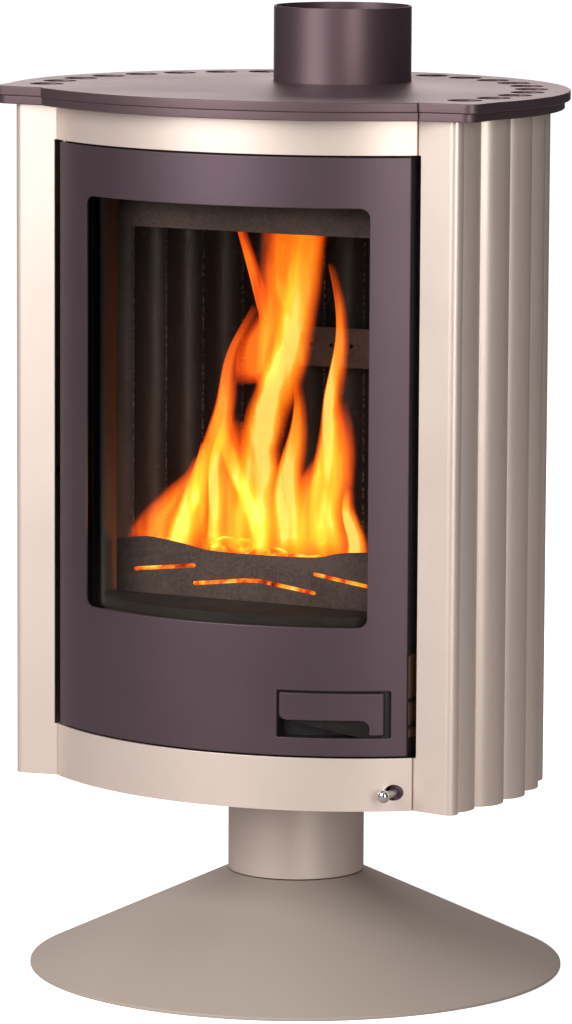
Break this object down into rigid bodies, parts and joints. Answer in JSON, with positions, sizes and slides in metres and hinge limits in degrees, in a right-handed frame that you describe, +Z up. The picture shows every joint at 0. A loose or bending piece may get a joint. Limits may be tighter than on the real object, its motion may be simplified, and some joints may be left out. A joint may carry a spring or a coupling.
{
  "type": "wood burning stove",
  "caption": "Round wood burning stove on a conical pedestal, with a curved glazed door, fluted convection casing, air control knob and a top flue collar.",
  "frame": {"origin": "on the floor, on the axis of the pedestal", "axes": "+Z up, the door faces -Y, +X to the viewer's right when facing the door"},
  "size_m": [0.6056, 0.58, 1.0396],
  "materials": {
    "casing_paint": "satin",
    "neck_paint": "satin",
    "foot_paint": "fine matt texture",
    "door_paint": "satin",
    "plate_paint": "satin",
    "firebox_steel": "matt heat resistant paint",
    "cast_iron": "rough cast",
    "zinc_steel": "zinc plated",
    "chrome": "polished",
    "glass": "clear ceramic glass",
    "rope": "woven glass fibre"
  },
  "bodies": {
    "root": {"base_plate": "firebox_steel", "pedestal_cone": "foot_paint", "column_core": "firebox_steel", "pedestal_neck": "neck_paint", "neck_flange": "firebox_steel", "flange_bolts": "zinc_steel", "base_tray": "firebox_steel", "air_spigot": "firebox_steel", "damper_housing": "firebox_steel", "firebox_floor": "firebox_steel", "firebox_shell": "firebox_steel", "front_frame": "firebox_steel", "firebox_ceiling": "firebox_steel", "entrance_reveals": "firebox_steel", "sill_plate": "firebox_steel", "lintel_plate": "firebox_steel", "hearth_plate": "cast_iron", "grate": "cast_iron", "ash_pan": "zinc_steel", "ash_pan_rails": "firebox_steel", "log_retainer": "firebox_steel", "retainer_brackets": "firebox_steel", "air_wash_deflector": "firebox_steel", "secondary_air_bar": "firebox_steel", "secondary_air_duct": "firebox_steel", "baffle_plate": "cast_iron", "baffle_supports": "firebox_steel", "under_plate": "plate_paint", "top_plate": "plate_paint", "flue_collar": "plate_paint", "top_spacers": "firebox_steel", "top_fascia": "casing_paint", "bottom_fascia": "casing_paint", "knob_bush": "chrome", "right_pillar": "casing_paint", "left_pillar": "casing_paint", "pillar_brackets": "firebox_steel", "left_cladding": "casing_paint", "rear_cladding": "casing_paint", "right_cladding": "casing_paint", "cladding_brackets": "firebox_steel", "hinge_brackets": "firebox_steel", "latch_keeper": "firebox_steel"},
    "door": {"door_skin": "door_paint", "skin_spacer": "firebox_steel", "door_frame": "firebox_steel", "glass_pane": "glass", "glass_gasket": "rope", "door_gasket": "rope", "door_back_panel": "firebox_steel", "handle_pocket": "firebox_steel", "handle_pin": "zinc_steel", "hinge_leaves": "firebox_steel", "hinge_pins": "zinc_steel"},
    "handle": {"handle_lever": "door_paint", "latch_hook": "zinc_steel"},
    "air_control": {"air_knob": "chrome", "air_rod": "zinc_steel", "air_slide": "firebox_steel"}
  },
  "joints": [
    {"name": "door_swing", "type": "hinge", "parent": "root", "child": "door", "pos_m": [-0.2045, -0.149, 0.58], "axis": [0, 0, -1], "range_deg": [0, 95]},
    {"name": "handle_turn", "type": "hinge", "parent": "door", "child": "handle", "pos_m": [0.187, -0.1585, 0.316], "axis": [0, 0, 1], "range_deg": [0, 25]},
    {"name": "air_control_pull", "type": "slide", "parent": "root", "child": "air_control", "axis": [0, -1, 0], "range_m": [0, 0.03]}
  ]
}
